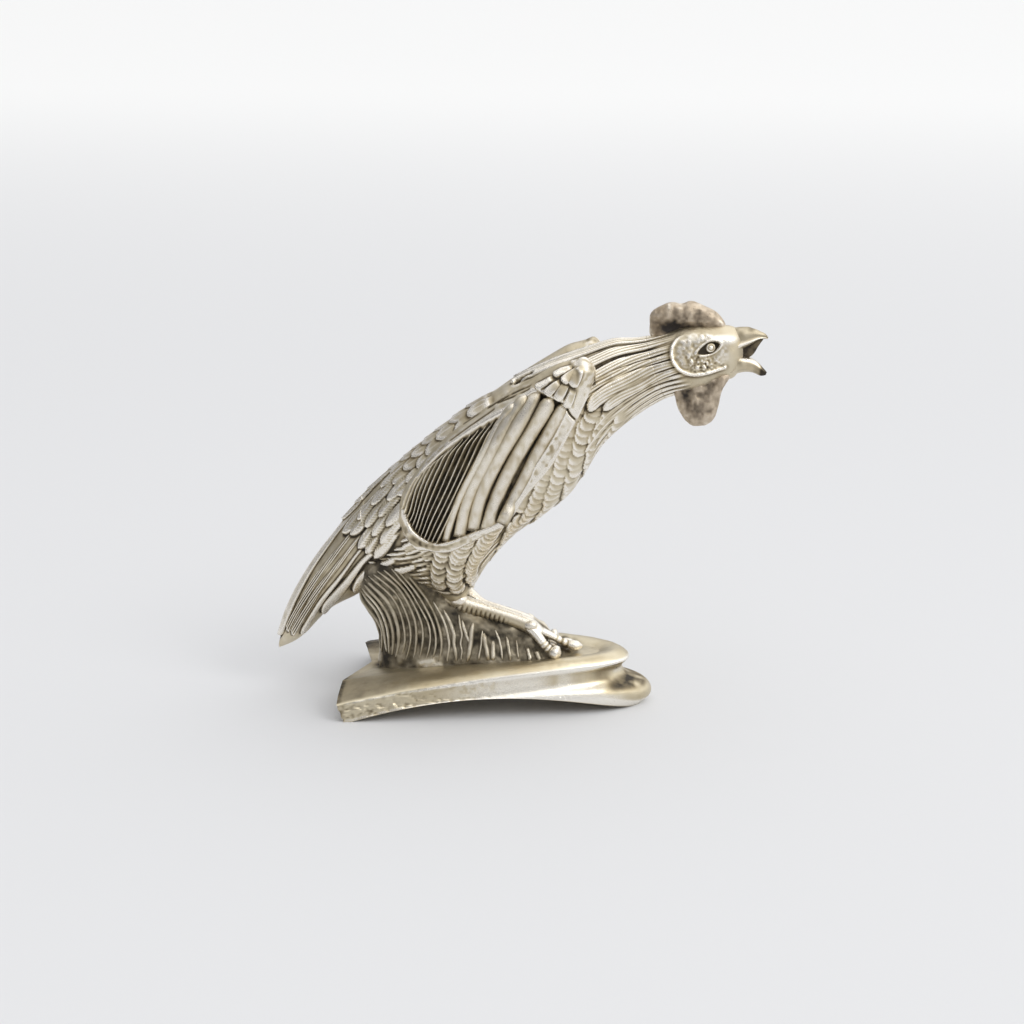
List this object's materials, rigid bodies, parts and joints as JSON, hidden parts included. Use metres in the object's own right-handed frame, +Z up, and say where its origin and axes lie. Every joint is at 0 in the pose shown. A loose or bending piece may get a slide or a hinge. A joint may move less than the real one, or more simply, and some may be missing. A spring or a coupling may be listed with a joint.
{
  "type": "hood ornament",
  "caption": "Cast rooster hood ornament leaning forward on a grass mound and an arched base, with threaded bushes underneath for the hood studs.",
  "frame": {"origin": "on the ground under the middle of the whole ornament's box; the base stands on its two rear corners and its front foot at Z = 0", "axes": "+X towards the beak and the front of the car, +Y to the bird's left, +Z up"},
  "size_m": [0.138, 0.058, 0.115],
  "materials": {
    "plated_bird": "worn, warm nickel plate over cast metal, with dark patina in the feather grooves",
    "plated_base": "worn nickel plate, smooth on the lip and the foot, rough-cast and pitted at the rear",
    "dark_mound": "darkened cast grass with rubbed bright ridges",
    "bare_comb": "dark brown oxidised metal with traces of old red-brown paint",
    "brass_fittings": "plain turned brass",
    "steel_fixings": "plain zinc-grey steel"
  },
  "bodies": {
    "root": {"base_plate": "plated_base", "grass_mound": "dark_mound", "body": "plated_bird", "tail": "plated_bird", "wing_left": "plated_bird", "wing_right": "plated_bird", "head": "plated_bird", "lower_beak": "plated_bird", "leg_left": "plated_bird", "leg_right": "plated_bird", "comb": "bare_comb", "wattle_left": "bare_comb", "wattle_right": "bare_comb", "neck_dowel": "brass_fittings", "tail_dowel": "brass_fittings", "wing_pins": "brass_fittings", "hock_dowels": "brass_fittings", "foot_pins": "brass_fittings", "comb_pins": "brass_fittings", "wattle_pins": "brass_fittings", "jaw_pin": "brass_fittings", "mount_bushes": "brass_fittings", "body_bolts": "steel_fixings", "mound_screw": "steel_fixings", "washers": "steel_fixings"}
  },
  "joints": []
}
